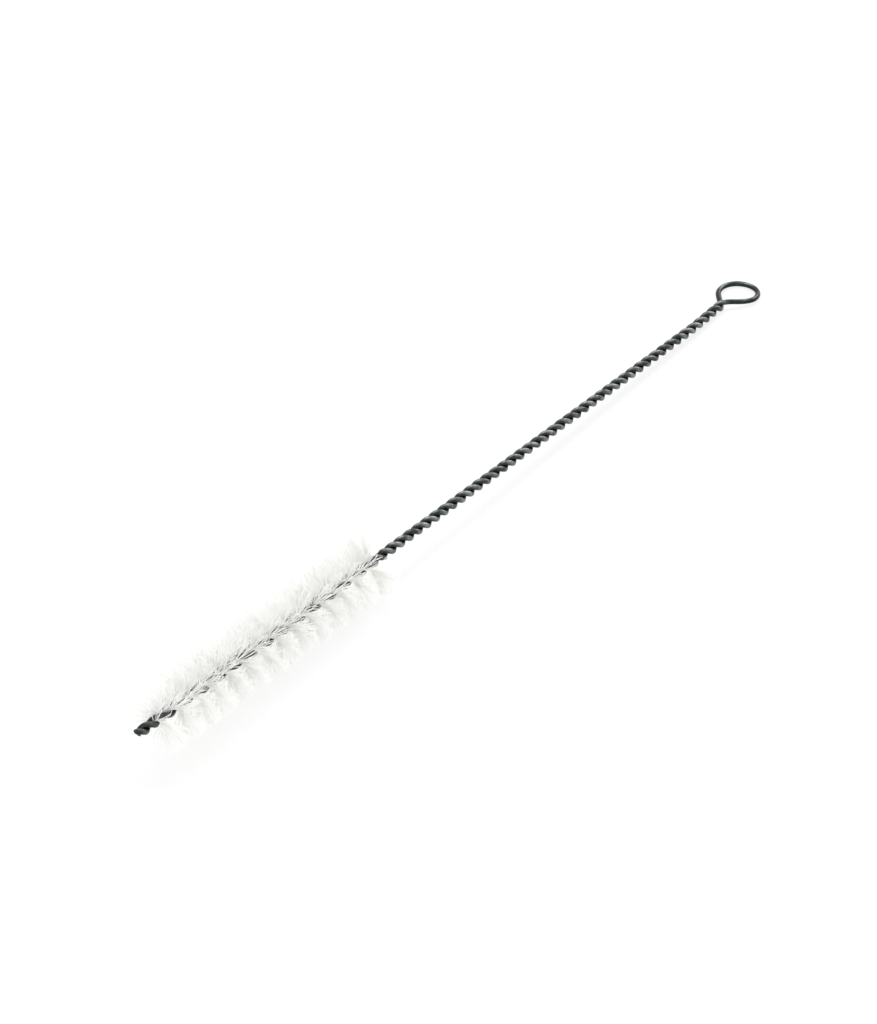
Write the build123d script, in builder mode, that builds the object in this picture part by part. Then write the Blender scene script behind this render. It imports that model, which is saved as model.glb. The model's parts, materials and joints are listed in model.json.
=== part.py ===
from build123d import *
from math import atan2, ceil, cos, hypot, pi, radians, sin
import os

# Overall sizes, in millimetres: the brush from its tip to the far side of the eye, and its round head
overall_length = 280.0
head_diameter = 19.0

# Wire: one length, bent double, with a section of eight sides that stands for a round one
wire_diameter = 1.5
wire_sides = 8
sections_per_turn = 8
strand_clearance = 0.04
cut_overrun = 2.0

# Twist of the two strands, right-handed: the bare tip, the head that the bristles hold open, and the handle
tip_length = 7.7
tip_lead = 7.4
head_length = 87.3
head_lead = 13.0
handle_lead = 7.79

# Hanging eye: a round bend between two straight legs that cross at the neck, all swung a little to one side
eye_radius = 5.55
eye_leg = 7.2
eye_swing_angle = 4.4
eye_sections = 20

# Bristles: flat tufts, pinched between the strands, that fan out on both sides of the wire
bristle_gap = 0.3
bristle_clearance = 0.03
tuft_pitch = 0.8
tuft_thickness = 0.6
tuft_fan_angle = 44.0
tuft_neck_share = 0.55

# Places along the brush, measured from its tip
wire_radius = wire_diameter / 2
head_radius = head_diameter / 2
head_start = tip_length
head_end = head_start + head_length
eye_swing = radians(eye_swing_angle)
eye_reach = hypot(eye_radius, eye_leg)
eye_centre = overall_length - wire_radius - eye_radius
eye_side = eye_reach * sin(eye_swing)
neck = eye_centre - eye_reach * cos(eye_swing)
handle_length = neck - head_end

# A strand runs straight from corner to corner, and the corners stand out so that the middle of a run clears
run_middle_share = cos(pi / sections_per_turn)
bare_twist_radius = (wire_radius + strand_clearance / 2) / run_middle_share
head_twist_radius = (wire_radius + bristle_gap / 2) / run_middle_share

# Turns of the twist at each place, counted from the neck, where one strand lies straight over the other
half_turn = 0.5
neck_turns = half_turn / 2
head_end_turns = neck_turns - handle_length / handle_lead
head_start_turns = head_end_turns - head_length / head_lead

# At rest the brush lies on its neck and on the last tuft with a bristle that points straight down
fan_half_angle = radians(tuft_fan_angle / 2)
fan_half_turns = fan_half_angle / (2 * pi)
turns_past_down = (head_end_turns + fan_half_turns) % half_turn - 2 * fan_half_turns
support = head_end - max(turns_past_down, 0) * head_lead
neck_reach = bare_twist_radius + wire_radius
rest_tilt = atan2(head_radius - neck_reach, neck - support)
tip_height = neck * sin(rest_tilt) + neck_reach * cos(rest_tilt)
rest_plane = Plane(
    origin=(-overall_length * cos(rest_tilt) / 2, 0, tip_height),
    x_dir=(cos(rest_tilt), 0, -sin(rest_tilt)),
    z_dir=(sin(rest_tilt), 0, cos(rest_tilt)),
)


def brush_point(along: float, across: float, up: float) -> Vector:
    """A point along, across and above the brush's axis, from its tip, as the brush lies at rest."""
    return rest_plane.from_local_coords(Vector(along, across, up))


def strand(offset_turns: float) -> list[Vector]:
    """Corners of one strand's middle line, from past the tip up to the neck, wider where it holds the bristles."""
    zones = (
        (tip_length + cut_overrun, tip_lead, head_start, head_start_turns),
        (head_length, head_lead, head_end, head_end_turns),
        (handle_length, handle_lead, neck, neck_turns),
    )
    corners = []
    for length, lead, end, end_turns in zones:
        steps = ceil(length / lead * sections_per_turn)
        for step in range(steps):
            to_end = length * (steps - step) / steps
            along = end - to_end
            angle = 2 * pi * (end_turns - to_end / lead + offset_turns)
            holds_bristles = head_start <= along <= head_end
            radius = head_twist_radius if holds_bristles else bare_twist_radius
            corners.append(brush_point(along, radius * cos(angle), radius * sin(angle)))
    return corners


def eye() -> list[Vector]:
    """Corners of the eye's middle line, from the upper strand at the neck round and down to the lower one."""
    arc = pi + 2 * atan2(eye_radius, eye_leg)
    path_length = 2 * eye_leg + eye_radius * arc
    corners = [brush_point(neck, 0, bare_twist_radius)]
    for section in range(eye_sections + 1):
        turned = arc * section / eye_sections
        angle = eye_swing + turned - arc / 2
        path_share = (eye_leg + eye_radius * turned) / path_length
        height = bare_twist_radius * (1 - 2 * path_share)
        along = eye_centre + eye_radius * cos(angle)
        corners.append(brush_point(along, eye_side + eye_radius * sin(angle), height))
    corners.append(brush_point(neck, 0, -bare_twist_radius))
    return corners


def tuft_plane(run: float) -> Plane:
    """Plane across the brush, a run into the head, whose y axis points out between the two strands."""
    angle = 2 * pi * (head_start_turns + run / head_lead)
    strand_direction = rest_plane.y_dir * cos(angle) + rest_plane.z_dir * sin(angle)
    middle = brush_point(head_start + run, 0, 0)
    return Plane(origin=middle, x_dir=strand_direction, z_dir=rest_plane.x_dir).offset(-tuft_thickness / 2)


# The wire: strand, eye and strand in one length, mitred where its straight runs meet and cut square at the tip
with BuildPart() as twisted_wire:
    with BuildLine() as middle_line:
        Polyline(*strand(0), *eye(), *reversed(strand(half_turn)))
    with BuildSketch(Plane(origin=middle_line.line @ 0, z_dir=middle_line.line % 0)):
        RegularPolygon(wire_radius, wire_sides)
    sweep(transition=Transition.RIGHT)
    split(bisect_by=Plane(origin=brush_point(0, 0, 0), z_dir=rest_plane.x_dir), keep=Keep.TOP)

# One half of a tuft's outline: a narrow neck between the strands, then a fan with a domed end
tuft_neck_half_width = bristle_gap / 2 - bristle_clearance
tuft_neck_reach = wire_radius * tuft_neck_share
fan_half_width = head_radius * sin(fan_half_angle)
fan_reach = head_radius * cos(fan_half_angle)
upper_half = [
    (tuft_neck_half_width, tuft_neck_reach),
    (fan_half_width, fan_reach),
    (0, head_radius),
    (-fan_half_width, fan_reach),
    (-tuft_neck_half_width, tuft_neck_reach),
]
lower_half = [(-across, -out) for across, out in upper_half]

# The bristles: tufts that follow the twist from end to end of the head
tuft_count = round(head_length / tuft_pitch)
with BuildPart() as bristles:
    for index in range(tuft_count):
        with BuildSketch(tuft_plane(head_length * (2 * index + 1) / (2 * tuft_count))):
            Polygon(*upper_half, *lower_half)
    extrude(amount=tuft_thickness)

os.makedirs("parts", exist_ok=True)
twisted_wire.part.label = "twisted_wire"
export_step(twisted_wire.part, "parts/twisted_wire.step")
bristles.part.label = "bristles"
export_step(bristles.part, "parts/bristles.step")
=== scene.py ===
"""Looks of a test tube brush: a twisted steel wire with a hanging eye, and its head of nylon bristles.

Sizes are in millimetres along the brush's own axis, which starts at the tip and ends at the eye. The
brush is modelled along X and then laid down as the frame's hanging eye says.
"""

import json
import logging
from dataclasses import dataclass
from enum import Enum
from math import atan2, cos, hypot, pi, radians, sin
from typing import Any

import bmesh
import bpy
import numpy as np
from mathutils import Matrix, Vector


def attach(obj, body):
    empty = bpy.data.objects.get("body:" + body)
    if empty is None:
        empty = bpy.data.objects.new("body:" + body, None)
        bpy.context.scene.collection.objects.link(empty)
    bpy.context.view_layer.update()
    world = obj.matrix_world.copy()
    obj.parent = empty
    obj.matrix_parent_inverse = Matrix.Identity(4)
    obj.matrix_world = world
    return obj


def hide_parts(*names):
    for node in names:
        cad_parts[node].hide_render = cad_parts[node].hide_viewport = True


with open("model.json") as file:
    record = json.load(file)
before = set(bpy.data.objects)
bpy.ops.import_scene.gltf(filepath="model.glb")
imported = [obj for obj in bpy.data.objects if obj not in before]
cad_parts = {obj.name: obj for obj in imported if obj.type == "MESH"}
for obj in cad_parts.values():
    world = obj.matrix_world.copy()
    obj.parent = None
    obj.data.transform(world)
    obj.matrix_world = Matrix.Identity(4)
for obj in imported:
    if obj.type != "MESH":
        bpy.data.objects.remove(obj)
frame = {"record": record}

LOG = logging.getLogger("test_tube_brush")
MM = 0.001
WHITE = (1.0, 1.0, 1.0, 1.0)
QUARTER_TURN = pi / 2

# Sockets that share their names with others on the same node, so that only their places tell them apart
MATH_FIRST, MATH_SECOND = 0, 1
MIX_FACTOR, MIX_FIRST, MIX_SECOND, MIX_COLOUR = 0, 6, 7, 2
SHADER_FIRST, SHADER_SECOND = 1, 2


class Axis(Enum):
    """Axis that a section of wire is swept round."""

    ALONG_BRUSH = "X"
    THROUGH_EYE = "Z"


class Zone(Enum):
    """Stretch of the twist, from the tip to the eye."""

    TIP = "tip"
    HEAD = "head"
    HANDLE = "handle"


@dataclass(frozen=True)
class Twist:
    """One stretch of the twist.

    Attributes:
        start: where the stretch starts, in millimetres from the tip.
        end: where it ends.
        lead: advance along the brush in one turn of the strands.
        radius: distance of a strand's middle line from the brush's axis.
        end_turns: turns of the first strand at the end of the stretch.
    """

    start: float
    end: float
    lead: float
    radius: float
    end_turns: float

    def angle(self, along: float) -> float:
        """Angle of the first strand about the axis, in radians, at a place along the brush."""
        return 2 * pi * (self.end_turns - (self.end - along) / self.lead)

    def point(self, along: float) -> Vector:
        """Middle of the first strand at a place along the brush, in millimetres."""
        angle = self.angle(along)
        return Vector((along, self.radius * cos(angle), self.radius * sin(angle)))

    def tangent(self, along: float) -> Vector:
        """Direction of the first strand.

        Args:
            along: place along the brush.

        Returns:
            A vector of length one.
        """
        angle = self.angle(along)
        slope = 2 * pi * self.radius / self.lead
        return Vector((1, -slope * sin(angle), slope * cos(angle))).normalized()


@dataclass(frozen=True)
class BrushSizes:
    """Driving sizes of the brush, in millimetres, and the places that follow from them.

    Attributes:
        overall_length: length from the tip to the far side of the eye.
        head_radius: radius of the bristles' round outline.
        wire_radius: radius of the wire.
        strand_press: how far the bare strands are pressed into each other, so that no light passes.
        bristle_gap: gap between the strands that the bristles hold open.
        tip_length: length of the bare tip.
        tip_lead: advance of the tip's twist in one turn.
        head_length: length of the head.
        head_lead: advance of the head's twist in one turn.
        handle_lead: advance of the handle's twist in one turn.
        eye_radius: radius of the eye's middle line.
        eye_leg: length of a leg between the neck and the eye's round bend.
        eye_swing: how far the eye is bent to one side, in radians.
        neck_turns: turns of the first strand at the neck, where it lies straight over the other.
    """

    overall_length: float = 280.0
    head_radius: float = 9.5
    wire_radius: float = 0.75
    strand_press: float = 0.026
    bristle_gap: float = 0.3
    tip_length: float = 7.7
    tip_lead: float = 7.4
    head_length: float = 87.3
    head_lead: float = 13.0
    handle_lead: float = 7.79
    eye_radius: float = 5.55
    eye_leg: float = 7.2
    eye_swing: float = radians(4.4)
    neck_turns: float = 0.25

    @property
    def head_end(self) -> float:
        """Where the last bristles leave the wire."""
        return self.tip_length + self.head_length

    @property
    def eye_centre(self) -> Vector:
        """Middle of the hanging eye, which is bent a little to one side."""
        aside = hypot(self.eye_radius, self.eye_leg) * sin(self.eye_swing)
        return Vector((self.overall_length - self.wire_radius - self.eye_radius, aside, 0))

    @property
    def neck(self) -> float:
        """Where the two strands cross at the foot of the eye."""
        return self.eye_centre.x - hypot(self.eye_radius, self.eye_leg) * cos(self.eye_swing)

    @property
    def bare_radius(self) -> float:
        """Distance of a strand from the axis where the two are pressed together."""
        return self.wire_radius - self.strand_press / 2

    def twists(self) -> dict[Zone, Twist]:
        """The three stretches of the twist.

        Returns:
            Each zone's stretch, with its turns counted back from the neck.
        """
        bare = self.bare_radius
        held = self.wire_radius + self.bristle_gap / 2
        head_end_turns = self.neck_turns - (self.neck - self.head_end) / self.handle_lead
        head_start_turns = head_end_turns - self.head_length / self.head_lead
        return {
            Zone.TIP: Twist(0, self.tip_length, self.tip_lead, bare, head_start_turns),
            Zone.HEAD: Twist(self.tip_length, self.head_end, self.head_lead, held, head_end_turns),
            Zone.HANDLE: Twist(self.head_end, self.neck, self.handle_lead, bare, self.neck_turns),
        }

    def rest(self, record: dict[str, Any]) -> Matrix:
        """Placement that lays the brush down as the frame has it.

        Args:
            record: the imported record, whose hanging eye gives a point and a direction.

        Returns:
            Matrix from the brush's own axes to the frame, both in metres.
        """
        eye = next(mount for mount in record["mounts"] if mount["name"] == "hang_eye")
        tilt = atan2(eye["axis"][0], eye["axis"][2])
        turned = Matrix.Rotation(tilt, 4, "Y")
        centre = turned @ (self.eye_centre * MM)
        return Matrix.Translation(Vector(eye["pos_m"]) - centre) @ turned


def linear(code: str) -> tuple[float, float, float, float]:
    """Turns an sRGB hex colour to linear light, by the curve of the sRGB standard.

    Args:
        code: six hex digits.

    Returns:
        Red, green, blue and an alpha of one.
    """
    shares = [int(code[place:place + 2], 16) / 255 for place in (0, 2, 4)]
    light = [c / 12.92 if c <= 0.04045 else ((c + 0.055) / 1.055) ** 2.4 for c in shares]
    return (*light, 1.0)


def node(
    tree: bpy.types.NodeTree, kind: str, settings: dict[str | int, Any], links: dict[str | int, Any]
) -> bpy.types.Node:
    """Adds a node with its settings and links.

    Args:
        tree: node tree that gets the node.
        kind: Blender's name of the node type.
        settings: properties, or values of input sockets where the node has no such property.
        links: output socket for each input socket's name or place.

    Returns:
        The new node.
    """
    made = tree.nodes.new(kind)
    for name, value in settings.items():
        if isinstance(name, str) and hasattr(made, name):
            setattr(made, name, value)
        else:
            made.inputs[name].default_value = value
    for name, socket in links.items():
        tree.links.new(socket, made.inputs[name])
    return made


def new_material(name: str) -> tuple[bpy.types.Material, bpy.types.NodeTree]:
    """Makes a material whose node tree holds nothing yet.

    Args:
        name: what the material is in reality.

    Returns:
        The material and its node tree.
    """
    material = bpy.data.materials.new(name)
    material.use_nodes = True
    material.node_tree.nodes.clear()
    return material, material.node_tree


def seen_white(tree: bpy.types.NodeTree) -> bpy.types.NodeSocket:
    """Tells which rays show the background: those of the camera, of gloss and of glass.

    Args:
        tree: node tree of the table's paper or of the room.

    Returns:
        A socket that gives one for such rays and zero for others.
    """
    path = node(tree, "ShaderNodeLightPath", {}, {}).outputs
    shown = path["Is Camera Ray"]
    for other in ("Is Glossy Ray", "Is Transmission Ray"):
        either = {MATH_FIRST: shown, MATH_SECOND: path[other]}
        shown = node(tree, "ShaderNodeMath", {"operation": "MAXIMUM"}, either).outputs["Value"]
    return shown


@dataclass(frozen=True)
class AnnealedSteel:
    """Black annealed steel wire, drawn through a die and blackened by its heat treatment.

    Attributes:
        oxide: colour of the oxide skin.
        worn_and_lit_colour: colour of bare metal where the oxide is polished off, also painted on as a
            highlight.
        roughness_low: roughness of the smoothest skin.
        roughness_high: roughness of the dullest skin.
        patch_mm: size of a patch of thinner skin.
        patch_detail: finer steps in the patches.
        patch_range: values of the patches' noise between which the skin goes from whole to thin.
        whole_skin_share: share of the bare metal and painted highlight that whole skin still takes.
        pit_mm: size of the die's small pits, drawn coarser than they are so that they show.
        pit_detail: finer steps in the pits.
        pit_range: values of the pits' noise between which the roughness goes from low to high.
        pit_depth_mm: depth of those pits.
        pit_strength: how strongly the pits show.
        wear_and_highlight: attribute that says how much grey each place takes, as bare metal and as
            painted highlight.
    """

    oxide: str = "2C3130"
    worn_and_lit_colour: str = "878B89"
    roughness_low: float = 0.24
    roughness_high: float = 0.46
    patch_mm: float = 2.6
    patch_detail: float = 4.0
    patch_range: tuple[float, float] = (0.38, 0.62)
    whole_skin_share: float = 0.1
    pit_mm: float = 0.35
    pit_detail: float = 2.0
    pit_range: tuple[float, float] = (0.3, 0.7)
    pit_depth_mm: float = 0.03
    pit_strength: float = 0.25
    wear_and_highlight: str = "wear_and_painted_highlight"

    def material(self) -> bpy.types.Material:
        """Makes the wire's material.

        Returns:
            A metal with black grooves, patchy crowns of bare metal and painted highlight, and small
            pits.
        """
        # The thin oxide looks near black and half glossy. On the crowns of the strands it is mixed with
        # grey, partly bare metal polished by the twisting tool and the hand and partly a painted
        # highlight, so light bars alternate with black grooves; the eye's grey is a painted highlight
        # only.
        material, tree = new_material("black_annealed_steel_wire")
        place = node(tree, "ShaderNodeTexCoord", {}, {}).outputs["Object"]
        wear_and_highlight = node(tree, "ShaderNodeAttribute", {"attribute_name": self.wear_and_highlight}, {}).outputs["Fac"]
        patches = node(
            tree,
            "ShaderNodeTexNoise",
            {"Scale": 1 / (self.patch_mm * MM), "Detail": self.patch_detail},
            {"Vector": place},
        )
        whole, thinnest = self.patch_range
        thin = node(
            tree,
            "ShaderNodeMapRange",
            {"From Min": whole, "From Max": thinnest, "To Min": self.whole_skin_share, "To Max": 1.0},
            {"Value": patches.outputs["Fac"]},
        )
        lit_and_worn = node(
            tree,
            "ShaderNodeMath",
            {"operation": "MULTIPLY"},
            {MATH_FIRST: wear_and_highlight, MATH_SECOND: thin.outputs["Result"]},
        )
        # Mixes in the grey: bare metal and painted highlight on the crowns, painted highlight only on
        # the eye.
        colour = node(
            tree,
            "ShaderNodeMix",
            {"data_type": "RGBA", MIX_FIRST: linear(self.oxide), MIX_SECOND: linear(self.worn_and_lit_colour)},
            {MIX_FACTOR: lit_and_worn.outputs["Value"]},
        )
        pits = node(
            tree,
            "ShaderNodeTexNoise",
            {"Scale": 1 / (self.pit_mm * MM), "Detail": self.pit_detail},
            {"Vector": place},
        ).outputs["Fac"]
        low, high = self.pit_range
        smooth, dull = self.roughness_low, self.roughness_high
        rough = node(
            tree,
            "ShaderNodeMapRange",
            {"From Min": low, "From Max": high, "To Min": smooth, "To Max": dull},
            {"Value": pits},
        )
        bump = node(
            tree,
            "ShaderNodeBump",
            {"Strength": self.pit_strength, "Distance": self.pit_depth_mm * MM},
            {"Height": pits},
        )
        surface = node(
            tree,
            "ShaderNodeBsdfPrincipled",
            {"Metallic": 1.0},
            {
                "Base Color": colour.outputs[MIX_COLOUR],
                "Roughness": rough.outputs["Result"],
                "Normal": bump.outputs["Normal"],
            },
        )
        node(tree, "ShaderNodeOutputMaterial", {}, {"Surface": surface.outputs["BSDF"]})
        return material


@dataclass(frozen=True)
class NylonFilament:
    """Natural white nylon, extruded as thin round filament.

    Attributes:
        pale: colour of the whitest filaments.
        warm: colour of the yellowest ones.
        roughness_low: roughness of the smoothest skin.
        roughness_high: roughness where the skin is scuffed.
        scuff_mm: length of a scuffed stretch.
        ior: refractive index of nylon.
        glow: share of the light that spreads inside a filament.
        glow_mm: how far it spreads.
        glow_spread: how far red, green and blue spread, as shares of that.
        shade: attribute that gives each filament its place between the two colours.
    """

    pale: str = "FCFCFB"
    warm: str = "F9F9F3"
    roughness_low: float = 0.34
    roughness_high: float = 0.5
    scuff_mm: float = 1.5
    ior: float = 1.53
    glow: float = 0.6
    glow_mm: float = 0.3
    glow_spread: tuple[float, float, float] = (1.0, 1.0, 1.0)
    shade: str = "filament_shade"

    def material(self) -> bpy.types.Material:
        """Makes the bristles' material.

        Returns:
            A soft white plastic whose shade changes from filament to filament.
        """
        # Thin nylon looks soft white and lets some light through, and one filament differs a little from
        # the next.
        material, tree = new_material("natural_nylon_filament")
        shade = node(tree, "ShaderNodeAttribute", {"attribute_name": self.shade}, {}).outputs["Fac"]
        colour = node(
            tree,
            "ShaderNodeMix",
            {"data_type": "RGBA", MIX_FIRST: linear(self.pale), MIX_SECOND: linear(self.warm)},
            {MIX_FACTOR: shade},
        )
        place = node(tree, "ShaderNodeTexCoord", {}, {}).outputs["Object"]
        scuffs = node(tree, "ShaderNodeTexNoise", {"Scale": 1 / (self.scuff_mm * MM)}, {"Vector": place})
        rough = node(
            tree,
            "ShaderNodeMapRange",
            {"To Min": self.roughness_low, "To Max": self.roughness_high},
            {"Value": scuffs.outputs["Fac"]},
        )
        surface = node(
            tree,
            "ShaderNodeBsdfPrincipled",
            {
                "IOR": self.ior,
                "Subsurface Weight": self.glow,
                "Subsurface Radius": self.glow_spread,
                "Subsurface Scale": self.glow_mm * MM,
            },
            {"Base Color": colour.outputs[MIX_COLOUR], "Roughness": rough.outputs["Result"]},
        )
        node(tree, "ShaderNodeOutputMaterial", {}, {"Surface": surface.outputs["BSDF"]})
        return material


@dataclass(frozen=True)
class WhitePaper:
    """Matt white paper that covers the table.

    Attributes:
        white: colour of the paper.
        roughness: its roughness.
        white_share: share of plain white in what the camera sees of it.
    """

    white: str = "F8F8F7"
    roughness: float = 0.9
    white_share: float = 0.8

    def material(self) -> bpy.types.Material:
        """Makes the table's material.

        Returns:
            A paper that is white to the eye and dull enough to show no reflection.
        """
        # Matt paper looks plain white all over and still takes the brush's soft shadow.
        material, tree = new_material("white_paper")
        share = node(
            tree,
            "ShaderNodeMath",
            {"operation": "MULTIPLY", MATH_SECOND: self.white_share},
            {MATH_FIRST: seen_white(tree)},
        )
        paper = node(
            tree,
            "ShaderNodeBsdfPrincipled",
            {"Base Color": linear(self.white), "Roughness": self.roughness},
            {},
        )
        white = node(tree, "ShaderNodeEmission", {"Color": WHITE, "Strength": 1.0}, {})
        mixed = node(
            tree,
            "ShaderNodeMixShader",
            {},
            {
                "Fac": share.outputs["Value"],
                SHADER_FIRST: paper.outputs["BSDF"],
                SHADER_SECOND: white.outputs["Emission"],
            },
        )
        node(tree, "ShaderNodeOutputMaterial", {}, {"Surface": mixed.outputs["Shader"]})
        return material


def deselect() -> None:
    """Leaves object mode with nothing selected."""
    if bpy.context.object and bpy.context.object.mode != "OBJECT":
        bpy.ops.object.mode_set(mode="OBJECT")
    bpy.ops.object.select_all(action="DESELECT")


def pick(*objects: bpy.types.Object) -> bpy.types.Object:
    """Selects objects and makes the first of them active.

    Args:
        objects: what is to be selected.

    Returns:
        The active object.
    """
    deselect()
    for chosen in objects:
        chosen.select_set(True)
    bpy.context.view_layer.objects.active = objects[0]
    return objects[0]


def settle(piece: bpy.types.Object, placement: Matrix) -> None:
    """Puts a placement into a piece's mesh, so that its object stays at the origin.

    Args:
        piece: object that is placed.
        placement: matrix that its mesh takes up.
    """
    pick(piece)
    piece.matrix_world = placement @ piece.matrix_world
    bpy.ops.object.transform_apply(location=True, rotation=True, scale=True)


def eased(share: np.ndarray) -> np.ndarray:
    """Turns an even rise from zero to one into one that starts and ends gently."""
    return share ** 2 * (3 - 2 * share)


@dataclass
class TwistedWire:
    """The wire: two strands twisted together and the eye between them, as one round length.

    Attributes:
        sizes: the brush's sizes.
        finish: the wire's material.
        sides: faces round the wire.
        rings_per_turn: sections of wire in one turn of the twist.
        eye_rings: sections of wire round the eye.
        blend: length over which one stretch of the twist passes into the next.
        blend_rings: sections in that length.
        leg_rings: sections along a leg of the eye.
        fall_share: share of the way from the upper to the lower strand that the round bend takes up.
        overrun: length that is cut off at the tip.
        cuts: where the first and the second strand are cut, in millimetres from the tip.
        burr: width of the broken edge where the wire is cut.
        burr_steps: faces across that edge.
        groove: distance from the axis at which the strands start to take the grey of the crowns, partly
            bare metal and partly painted highlight.
        head_wear_and_highlight: share of that grey kept up to the end of the head, where no hand touches
            the wire.
        eye_highlight: strength of the painted highlight on the two faces of the eye, which has no
            grooves.
        eye_highlight_power: power by which that painted highlight falls off towards the eye's edges.
        highlight_bearings: bearings round the eye at which the painted highlight is strongest, in
            radians.
        highlight_edge: power by which the painted highlight falls off beside them.
        highlight_base: share of the painted highlight between them.
        sway: places past the neck, and how far the bent wire strays to one side at each.
        end_margin: how far the corners of an end section may lie from its middle, in wire radii.
        crease: angle between faces above which an edge stays sharp, in radians.
    """

    sizes: BrushSizes
    finish: AnnealedSteel
    sides: int = 16
    rings_per_turn: int = 26
    eye_rings: int = 40
    blend: float = 1.2
    blend_rings: int = 4
    leg_rings: int = 12
    fall_share: float = 0.3
    overrun: float = 2.0
    cuts: tuple[float, float] = (1.2, 0.0)
    burr: float = 0.12
    burr_steps: int = 2
    groove: float = 1.096
    head_wear_and_highlight: float = 0.35
    eye_highlight: float = 1.0
    eye_highlight_power: int = 4
    highlight_bearings: tuple[float, ...] = (radians(-112), 0.0, radians(85))
    highlight_edge: int = 8
    highlight_base: float = 0.12
    sway: tuple[tuple[float, float], ...] = ((-18.0, 0.0), (0.0, 0.7), (9.0, -0.15))
    end_margin: float = 1.002
    crease: float = radians(50)

    def build(self, rest: Matrix) -> bpy.types.Object:
        """Models and dresses the wire.

        Args:
            rest: placement of the brush in the frame.

        Returns:
            The finished piece.
        """
        wire = self.strand()
        other = self.turned_copy(wire)
        for strand, place in zip((wire, other), self.cuts):
            self.cut_tip(strand, place)
        eye, ends = self.eye()
        pick(wire, other, eye)
        bpy.ops.object.join()
        neck = self.sizes.twists()[Zone.HANDLE].point(self.sizes.neck)
        opposite = Vector((neck.x, -neck.y, -neck.z))
        for strand_end, eye_end in zip((neck, opposite), ends):
            self.bridge(wire, strand_end, eye_end, self.leg_rings)
        self.face_out(wire)
        self.mark_wear_and_highlight(wire)
        self.bend(wire)
        settle(wire, rest @ Matrix.Scale(MM, 4))
        self.dress(wire)
        return wire

    def dress(self, wire: bpy.types.Object) -> None:
        """Names the wire, smooths its faces and gives it its finish.

        Args:
            wire: the whole wire, in its place.
        """
        wire.name = wire.data.name = "steel_wire"
        pick(wire)
        bpy.ops.object.shade_smooth_by_angle(angle=self.crease)
        wire.data.materials.append(self.finish.material())

    def ring(self, centre: Vector, tangent: Vector) -> bpy.types.Object:
        """Adds one round section of the wire.

        Args:
            centre: middle of the section.
            tangent: direction of the wire there.

        Returns:
            The section, with its place in its mesh.
        """
        deselect()
        bpy.ops.mesh.primitive_circle_add(
            vertices=self.sides,
            radius=self.sizes.wire_radius,
            fill_type="NOTHING",
            location=centre,
            rotation=tangent.to_track_quat("Z", "Y").to_euler(),
        )
        bpy.ops.object.transform_apply(location=True, rotation=True, scale=True)
        return bpy.context.object

    def sweep(
        self, ring: bpy.types.Object, axis: Axis, angle: float, advance: float, steps: int
    ) -> None:
        """Sweeps a section of wire round an axis through the origin.

        Args:
            ring: section that is swept.
            axis: axis of the sweep.
            angle: how far it turns, in radians.
            advance: how far it moves along the axis.
            steps: sections added.
        """
        pick(ring)
        screw = ring.modifiers.new("sweep", "SCREW")
        screw.axis = axis.value
        screw.angle = angle
        screw.screw_offset = advance
        screw.steps = screw.render_steps = steps
        bpy.ops.object.modifier_apply(modifier=screw.name)

    def strand(self) -> bpy.types.Object:
        """Models the first strand, from past the tip to the neck.

        Returns:
            Its three stretches, joined by smooth blends.
        """
        sizes, twists = self.sizes, self.sizes.twists()
        spans = {
            Zone.TIP: (-self.overrun, sizes.tip_length - self.blend / 2),
            Zone.HEAD: (sizes.tip_length + self.blend / 2, sizes.head_end - self.blend / 2),
            Zone.HANDLE: (sizes.head_end + self.blend / 2, sizes.neck),
        }
        stretches = []
        for zone, (start, end) in spans.items():
            twist = twists[zone]
            turns = (end - start) / twist.lead
            steps = round(turns * self.rings_per_turn)
            ring = self.ring(twist.point(start), twist.tangent(start))
            self.sweep(ring, Axis.ALONG_BRUSH, 2 * pi * turns, end - start, steps)
            stretches.append(ring)
        wire = pick(*stretches)
        bpy.ops.object.join()
        for before, after in ((Zone.TIP, Zone.HEAD), (Zone.HEAD, Zone.HANDLE)):
            left = twists[before].point(spans[before][1])
            right = twists[after].point(spans[after][0])
            self.bridge(wire, left, right, self.blend_rings)
        return wire

    def turned_copy(self, strand: bpy.types.Object) -> bpy.types.Object:
        """Copies a strand to the other side of the axis.

        Args:
            strand: the first strand.

        Returns:
            The second one, with its own mesh.
        """
        pick(strand)
        bpy.ops.object.duplicate()
        copy = bpy.context.object
        bpy.ops.transform.rotate(value=pi, orient_axis="X", center_override=(0, 0, 0))
        bpy.ops.object.transform_apply(location=True, rotation=True, scale=True)
        return copy

    def eye(self) -> tuple[bpy.types.Object, tuple[Vector, Vector]]:
        """Models the round bend of the eye, which falls from the upper strand to the lower one.

        Returns:
            The bend, and the middles of its two end sections.
        """
        sizes = self.sizes
        arc = pi + 2 * atan2(sizes.eye_radius, sizes.eye_leg)
        length = sizes.eye_radius * arc
        fall = 2 * sizes.bare_radius * self.fall_share
        first, last = sizes.eye_swing - arc / 2, sizes.eye_swing + arc / 2
        start = Vector((sizes.eye_radius * cos(first), sizes.eye_radius * sin(first), fall / 2))
        end = Vector((sizes.eye_radius * cos(last), sizes.eye_radius * sin(last), -fall / 2))
        eye = self.ring(start, Vector((-sin(first), cos(first), -fall / length)).normalized())
        self.sweep(eye, Axis.THROUGH_EYE, arc, -fall, self.eye_rings)
        settle(eye, Matrix.Translation(sizes.eye_centre))
        return eye, (sizes.eye_centre + start, sizes.eye_centre + end)

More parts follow.
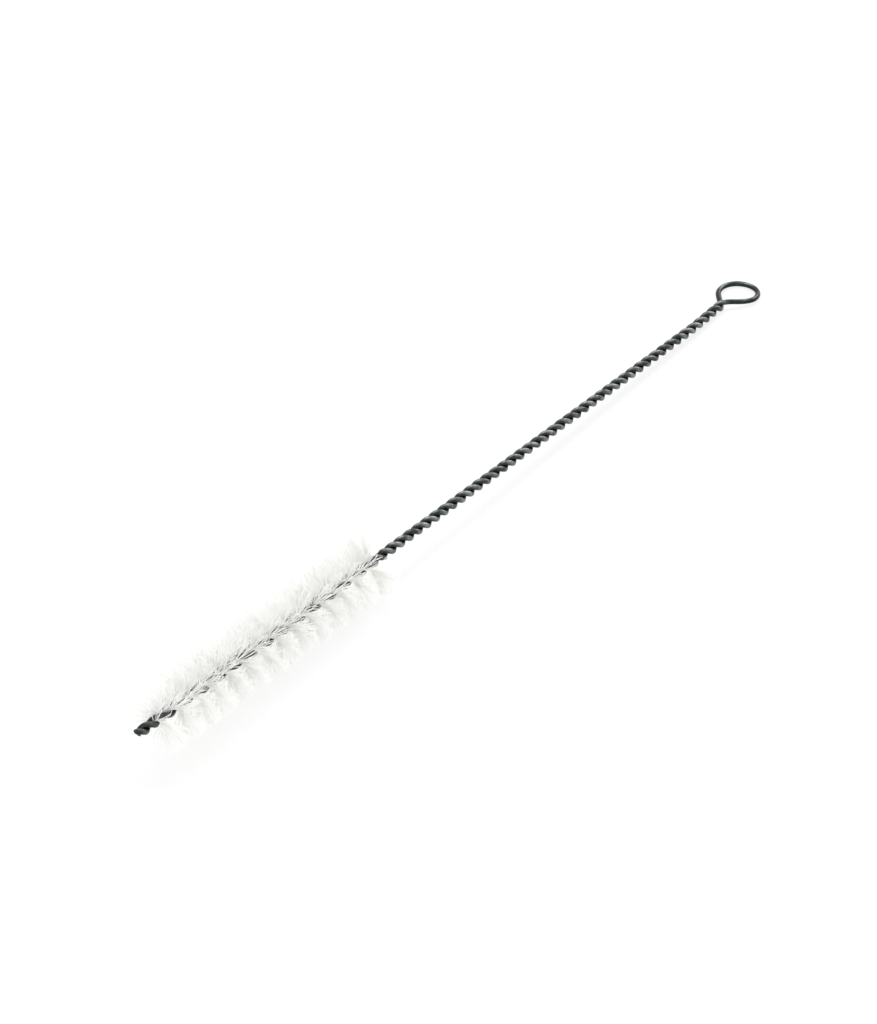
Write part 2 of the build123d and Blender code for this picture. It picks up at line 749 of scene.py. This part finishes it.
    def bridge(self, wire: bpy.types.Object, left: Vector, right: Vector, rings: int) -> None:
        """Joins two open ends of the wire by a smooth stretch.

        Args:
            wire: object that holds both ends.
            left: middle of one end section.
            right: middle of the other.
            rings: sections added between them.
        """
        pick(wire)
        bpy.ops.object.mode_set(mode="EDIT")
        bpy.ops.mesh.select_mode(type="EDGE")
        bpy.ops.mesh.select_all(action="DESELECT")
        shape = bmesh.from_edit_mesh(wire.data)
        reach = self.end_margin * self.sizes.wire_radius
        for edge in [edge for edge in shape.edges if edge.is_boundary]:
            for middle in (left, right):
                if all((corner.co - middle).length < reach for corner in edge.verts):
                    edge.select_set(True)
        bmesh.update_edit_mesh(wire.data)
        bpy.ops.mesh.bridge_edge_loops(number_cuts=rings, interpolation="SURFACE", smoothness=1.0)
        bpy.ops.object.mode_set(mode="OBJECT")

    def cut_tip(self, strand: bpy.types.Object, place: float) -> None:
        """Cuts a strand at the tip, as side cutters do, and breaks the edge of the cut.

        Args:
            strand: one strand, which starts past the tip.
            place: where it is cut, in millimetres from the tip.
        """
        pick(strand)
        bpy.ops.object.mode_set(mode="EDIT")
        bpy.ops.mesh.select_mode(type="EDGE")
        bpy.ops.mesh.select_all(action="SELECT")
        bpy.ops.mesh.bisect(plane_co=(place, 0, 0), plane_no=(1, 0, 0), use_fill=True, clear_inner=True)
        bpy.ops.mesh.bevel(offset=self.burr, segments=self.burr_steps, affect="EDGES")
        bpy.ops.object.mode_set(mode="OBJECT")

    def face_out(self, wire: bpy.types.Object) -> None:
        """Turns all faces of the closed wire outwards.

        Args:
            wire: the whole wire.
        """
        pick(wire)
        bpy.ops.object.mode_set(mode="EDIT")
        bpy.ops.mesh.select_all(action="SELECT")
        bpy.ops.mesh.normals_make_consistent(inside=False)
        bpy.ops.object.mode_set(mode="OBJECT")

    def mark_wear_and_highlight(self, wire: bpy.types.Object) -> None:
        """Marks where the wire takes grey: partly bare metal and partly painted highlight on the crowns
        of the strands, and painted highlight only on the faces of the eye.

        Args:
            wire: the whole wire, still in millimetres along the brush.
        """
        sizes = self.sizes
        places = np.array([corner.co for corner in wire.data.vertices])
        upward = np.array([corner.normal.z for corner in wire.data.vertices])
        out = np.hypot(places[:, 1], places[:, 2])
        # The crowns of the strands take grey: partly bare metal where the oxide is polished off, partly
        # a painted highlight in place of the lamps' reflection.
        crown = sizes.bare_radius + sizes.wire_radius
        lit_and_worn = np.clip((out - self.groove) / (crown - self.groove), 0, 1)
        lit_and_worn[places[:, 0] < sizes.head_end] *= self.head_wear_and_highlight
        # Past the neck, the eye gets a painted highlight instead: on its two flat faces, and strongest
        # at a few given bearings.
        centre = sizes.eye_centre
        bearing = np.arctan2(places[:, 1] - centre.y, places[:, 0] - centre.x)
        facing = np.clip(np.cos(bearing[:, None] - np.array(self.highlight_bearings)), 0, 1).max(axis=1)
        highlight_spots = self.highlight_base + (1 - self.highlight_base) * facing ** self.highlight_edge
        eye = self.eye_highlight * upward ** self.eye_highlight_power * highlight_spots
        lit_and_worn += (eye - lit_and_worn) * np.clip((places[:, 0] - sizes.neck) / crown, 0, 1)
        mark = wire.data.attributes.new(self.finish.wear_and_highlight, "FLOAT", "POINT")
        mark.data.foreach_set("value", lit_and_worn.astype(np.float32))

    def bend(self, wire: bpy.types.Object) -> None:
        """Bends the wire a little to one side near the eye, as the bending tool leaves it.

        Its corners are moved in code, because Blender's own bend operator needs a window.

        Args:
            wire: the whole wire, still in millimetres along the brush.
        """
        places = np.array([corner.co for corner in wire.data.vertices])
        past_neck = places[:, 0] - self.sizes.neck
        for (start, before), (end, after) in zip(self.sway, self.sway[1:]):
            share = np.clip((past_neck - start) / (end - start), 0, 1)
            places[:, 1] += (after - before) * eased(share)
        wire.data.vertices.foreach_set("co", places.ravel())
        wire.data.update()


@dataclass
class BristleHead:
    """The head: nylon filaments pinched between the strands, each cut at the head's round outline.

    Attributes:
        sizes: the brush's sizes.
        finish: the filaments' material.
        count: filaments in the head.
        filament_radius: radius of one filament.
        sides: faces round a filament.
        bends: places where a filament bends, as shares of the way out.
        digits: decimals by which heights on the unit filament are told apart.
        pinch: distance from the axis to where a filament leaves the strands.
        fan: spread of the filaments about the direction in which they leave the wire, in radians.
        fan_share: share of its free length over which a filament takes up that spread.
        lean: spread of the filaments along the brush, in radians.
        spill: length of the tip's tighter twist that still pinches filaments.
        fray: length over which the filaments at the tip grow as dense as the rest.
        crowd: how much denser the very last filaments stand at the handle.
        thin_spot: a stretch with few filaments, as its start and end before the end of the head.
        thin_share: share of the filaments that are left there.
        loose: length at each end of the bristles in which fewer neighbours hold the filaments up.
        loose_fan: spread of the very last filaments about their direction, in radians.
        splay: how far the very last filaments lean away from the head, in radians.
        clump: length of wire over which filaments lean together.
        clump_turn: how far such a clump strays, in radians.
        curl: how far a filament bends on its way out, in radians.
        trim: greatest share of its length that a filament is short by.
        crease: angle between faces above which an edge stays sharp, in radians.
        seed: start of the random draws for the filaments' lines.
        shade_seed: start of those for their shades.
    """

    sizes: BrushSizes
    finish: NylonFilament
    count: int = 1820
    filament_radius: float = 0.062
    sides: int = 4
    bends: tuple[float, ...] = (0.38, 0.7)
    digits: int = 6
    pinch: float = 0.75
    fan: float = radians(10)
    fan_share: float = 1 / 3
    lean: float = radians(3)
    spill: float = 1.9
    fray: float = 1.6
    crowd: float = 1.3
    thin_spot: tuple[float, float] = (3.6, 6.4)
    thin_share: float = 0.3
    loose: float = 6.0
    loose_fan: float = radians(13)
    splay: float = radians(13)
    clump: float = 1.1
    clump_turn: float = radians(5)
    curl: float = radians(8)
    trim: float = 0.05
    crease: float = radians(80)
    seed: int = 7
    shade_seed: int = 8

    @property
    def first(self) -> float:
        """Where the first filaments leave the wire, in the tip's tighter twist."""
        return self.sizes.tip_length - self.spill

    @property
    def root(self) -> float:
        """Share of a filament's way out that the strands hold."""
        return self.pinch / self.sizes.head_radius

    def build(self, rest: Matrix) -> bpy.types.Object:
        """Models and dresses the bristles.

        One filament is modelled with operators. No operator bends each copy along a line of its own, so
        the copies' corners are worked out in code.

        Args:
            rest: placement of the brush in the frame.

        Returns:
            The finished piece.
        """
        unit = self.filament()
        points = np.array([corner.co for corner in unit.data.vertices])
        faces = [tuple(face.vertices) for face in unit.data.polygons]
        bpy.data.objects.remove(unit)
        shares, stations = np.unique(points[:, 2].round(self.digits), return_inverse=True)
        corners = self.along(self.lines(shares, rest), points, stations)
        starts = range(0, self.count * len(points), len(points))
        copies = [tuple(start + corner for corner in face) for start in starts for face in faces]
        mesh = bpy.data.meshes.new("nylon_bristles")
        mesh.from_pydata(corners.reshape(-1, 3), [], copies)
        head = bpy.data.objects.new("nylon_bristles", mesh)
        bpy.context.scene.collection.objects.link(head)
        self.dress(head)
        return head

    def dress(self, head: bpy.types.Object) -> None:
        """Gives each filament its shade, smooths the faces and adds the finish.

        Args:
            head: all filaments, in their places.
        """
        drawn = np.random.default_rng(self.shade_seed).random(self.count)
        shades = np.repeat(drawn, len(head.data.vertices) // self.count)
        mark = head.data.attributes.new(self.finish.shade, "FLOAT", "POINT")
        mark.data.foreach_set("value", shades.astype(np.float32))
        pick(head)
        bpy.ops.object.shade_smooth_by_angle(angle=self.crease)
        head.data.materials.append(self.finish.material())

    def filament(self) -> bpy.types.Object:
        """Models one straight filament, a unit long on each side of the wire.

        Returns:
            The filament, cut into short runs that can bend.
        """
        deselect()
        bpy.ops.mesh.primitive_cylinder_add(vertices=self.sides, radius=self.filament_radius, depth=2)
        unit = bpy.context.object
        bpy.ops.object.mode_set(mode="EDIT")
        for share in (self.root, *self.bends):
            for place in (-share, share):
                bpy.ops.mesh.select_all(action="SELECT")
                bpy.ops.mesh.bisect(plane_co=(0, 0, place), plane_no=(0, 0, 1))
        bpy.ops.object.mode_set(mode="OBJECT")
        return unit

    def places(self, draws: np.random.Generator) -> np.ndarray:
        """Places where the filaments leave the wire, sparser at the tip and denser at the handle.

        Args:
            draws: source of random numbers.

        Returns:
            A place for each filament, in millimetres from the tip.
        """
        steps = np.linspace(self.first, self.sizes.head_end, self.count)
        to_end = self.sizes.head_end - steps
        density = np.clip((steps - self.first) / self.fray, 0, 1)
        density += self.crowd * np.clip(1 - to_end / self.loose, 0, 1)
        near, far = self.thin_spot
        density[(to_end > near) & (to_end < far)] *= self.thin_share
        filled = np.cumsum(density) / density.sum()
        return np.interp((np.arange(self.count) + draws.random(self.count)) / self.count, filled, steps)

    def drift(self, draws: np.random.Generator, places: np.ndarray) -> np.ndarray:
        """Smooth random stray along the head, so that neighbours lean together.

        Args:
            draws: source of random numbers.
            places: places along the head, in millimetres.

        Returns:
            Stray at each place, about one in size.
        """
        whole_clumps = int((self.sizes.head_length + self.spill) / self.clump)
        knots = draws.normal(size=whole_clumps + 2)
        return np.interp(places - places.min(), np.arange(len(knots)) * self.clump, knots)

    def lines(self, shares: np.ndarray, rest: Matrix) -> np.ndarray:
        """Middle lines of all filaments, in metres in the frame.

        Args:
            shares: places on a filament, from minus one at one end to one at the other.
            rest: placement of the brush in the frame.

        Returns:
            A point for each filament and place.
        """
        draws = np.random.default_rng(self.seed)
        twists = self.sizes.twists()
        held = twists[Zone.HEAD]
        places = self.places(draws)
        angles = [twists[Zone.TIP].angle(self.first), held.angle(held.start), held.angle(held.end)]
        out = np.interp(places, [self.first, held.start, held.end], angles) + QUARTER_TURN
        past_start = np.clip(1 - (places - self.first) / self.loose, 0, 1)
        past_end = np.clip(1 - (held.end - places) / self.loose, 0, 1)
        fan = self.fan + (self.loose_fan - self.fan) * (past_start + past_end)
        splay = self.splay * (past_end - past_start)
        line = np.zeros((self.count, len(shares), 3))
        line[:, :, 0] = places[:, None]
        for side in (-1, 1):
            chosen = np.sign(shares) == side
            reach = np.abs(shares[chosen])[None, :]
            free = np.clip(reach - self.root, 0, None) / (1 - self.root)
            turn = fan * draws.normal(size=self.count) + self.clump_turn * self.drift(draws, places)
            tilt = splay + self.lean * (draws.normal(size=self.count) + self.drift(draws, places))
            curl = self.curl * draws.normal(size=self.count)
            length = self.sizes.head_radius * (1 - self.trim * draws.random(self.count) ** 2)
            radius = reach * length[:, None]
            spread = turn[:, None] * np.minimum(free / self.fan_share, 1)
            angle = out[:, None] + spread + curl[:, None] * free ** 2
            line[:, chosen, 0] += np.tan(tilt)[:, None] * free * length[:, None]
            line[:, chosen, 1] = side * radius * np.cos(angle)
            line[:, chosen, 2] = side * radius * np.sin(angle)
        turned = np.array(rest.to_3x3())
        placed = line * MM @ turned.T + np.array(rest.translation)
        placed[:, :, 2] = np.maximum(placed[:, :, 2], self.filament_radius * MM)
        return placed

    def along(self, lines: np.ndarray, points: np.ndarray, stations: np.ndarray) -> np.ndarray:
        """Carries the unit filament along each middle line.

        Args:
            lines: middle lines, in metres.
            points: corners of the unit filament.
            stations: which place on the middle line each corner stands at.

        Returns:
            The corners of every filament, in metres.
        """
        tangent = np.gradient(lines, axis=1)
        tangent /= np.linalg.norm(tangent, axis=2, keepdims=True)
        across = np.cross(tangent, np.array([1.0, 0.0, 0.0]))
        across /= np.linalg.norm(across, axis=2, keepdims=True)
        up = np.cross(tangent, across)
        sideways, upwards = points[None, :, 0, None], points[None, :, 1, None]
        offset = sideways * across[:, stations] + upwards * up[:, stations]
        return lines[:, stations] + offset * MM


@dataclass(frozen=True)
class SoftLamp:
    """A soft box that faces the brush.

    Attributes:
        name: name of the lamp.
        place: its middle, in millimetres.
        width: its width, in millimetres.
        height: its height, in millimetres.
        power: its power, in watts.
    """

    name: str
    place: tuple[float, float, float]
    width: float
    height: float
    power: float

    def build(self) -> None:
        """Adds the lamp, turned to the brush and never seen itself."""
        data = bpy.data.lights.new(self.name, "AREA")
        data.shape = "RECTANGLE"
        data.size, data.size_y = self.width * MM, self.height * MM
        data.energy = self.power
        lamp = bpy.data.objects.new(self.name, data)
        bpy.context.scene.collection.objects.link(lamp)
        lamp.location = Vector(self.place) * MM
        lamp.rotation_euler = (-lamp.location).to_track_quat("-Z", "Y").to_euler()
        lamp.visible_camera = False


@dataclass(frozen=True)
class Studio:
    """A white table, soft light and the camera.

    Attributes:
        azimuth: direction that the camera stands in, in degrees about the vertical.
        elevation: its height above the horizon, in degrees.
        distance: its distance from the point that it looks at, in millimetres.
        target: that point, in millimetres.
        lens: focal length, in millimetres.
        sensor: long side of the picture at the lens, in millimetres.
        floor_size: side of the table, in millimetres.
        paper: what covers the table.
        sky: strength of the room's light.
        lamps: the soft boxes.
    """

    azimuth: float = -54.44
    elevation: float = 34.70
    distance: float = 1087.0
    target: tuple[float, float, float] = (-5.0, 7.21, 0.17)
    lens: float = 144.18
    sensor: float = 36.0
    floor_size: float = 4000.0
    paper: WhitePaper = WhitePaper()
    sky: float = 0.66
    lamps: tuple[SoftLamp, ...] = (
        SoftLamp("strip_behind_eye", (900.0, -40.0, 480.0), 450.0, 800.0, 3.2),
        SoftLamp("box_above", (250.0, 250.0, 1000.0), 500.0, 500.0, 4.2),
        SoftLamp("fill_in_front", (-900.0, -600.0, 700.0), 900.0, 900.0, 6.0),
    )

    def build(self) -> None:
        """Sets up the floor, the light and the camera."""
        bpy.context.scene.view_settings.view_transform = "Standard"
        self.floor()
        self.world()
        for lamp in self.lamps:
            lamp.build()
        self.camera()

    def floor(self) -> None:
        """Adds the table, which is white to the eye and still takes the brush's shadow."""
        deselect()
        bpy.ops.mesh.primitive_plane_add(size=self.floor_size * MM)
        floor = bpy.context.object
        floor.name = "white_table"
        floor.data.materials.append(self.paper.material())

    def world(self) -> None:
        """Lights the room evenly and shows it white."""
        world = bpy.data.worlds.new("white_room")
        bpy.context.scene.world = world
        world.use_nodes = True
        tree = world.node_tree
        tree.nodes.clear()
        strength = node(
            tree,
            "ShaderNodeMapRange",
            {"To Min": self.sky, "To Max": 1.0},
            {"Value": seen_white(tree)},
        )
        sky = node(
            tree, "ShaderNodeBackground", {"Color": WHITE}, {"Strength": strength.outputs["Result"]}
        )
        node(tree, "ShaderNodeOutputWorld", {}, {"Surface": sky.outputs["Background"]})

    def camera(self) -> None:
        """Stands the camera where the photograph was taken from."""
        data = bpy.data.cameras.new("camera")
        data.lens = self.lens
        data.sensor_width = self.sensor
        camera = bpy.data.objects.new("camera", data)
        bpy.context.scene.collection.objects.link(camera)
        turn, rise = radians(self.azimuth), radians(self.elevation)
        back = Vector((sin(turn) * cos(rise), -cos(turn) * cos(rise), sin(rise)))
        camera.location = (Vector(self.target) + back * self.distance) * MM
        camera.rotation_euler = (-back).to_track_quat("-Z", "Y").to_euler()
        bpy.context.scene.camera = camera


def main() -> None:
    """Builds the brush and its studio, and logs how many triangles each dressed piece has."""
    logging.basicConfig(level=logging.INFO, format="%(name)s: %(message)s")
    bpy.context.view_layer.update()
    sizes = BrushSizes()
    rest = sizes.rest(frame["record"])
    wire = TwistedWire(sizes, AnnealedSteel()).build(rest)
    bristles = BristleHead(sizes, NylonFilament()).build(rest)
    for piece, solid, slot in (
        (wire, "twisted_wire", "dark_steel_wire"),
        (bristles, "bristles", "white_nylon"),
    ):
        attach(piece, "root")
        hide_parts(solid)
        triangles = sum(len(face.vertices) - 2 for face in piece.data.polygons)
        LOG.info("%s: %d triangles, in place of %s", piece.name, triangles, solid)
    Studio().build()
    deselect()


if __name__ == "__main__":
    main()
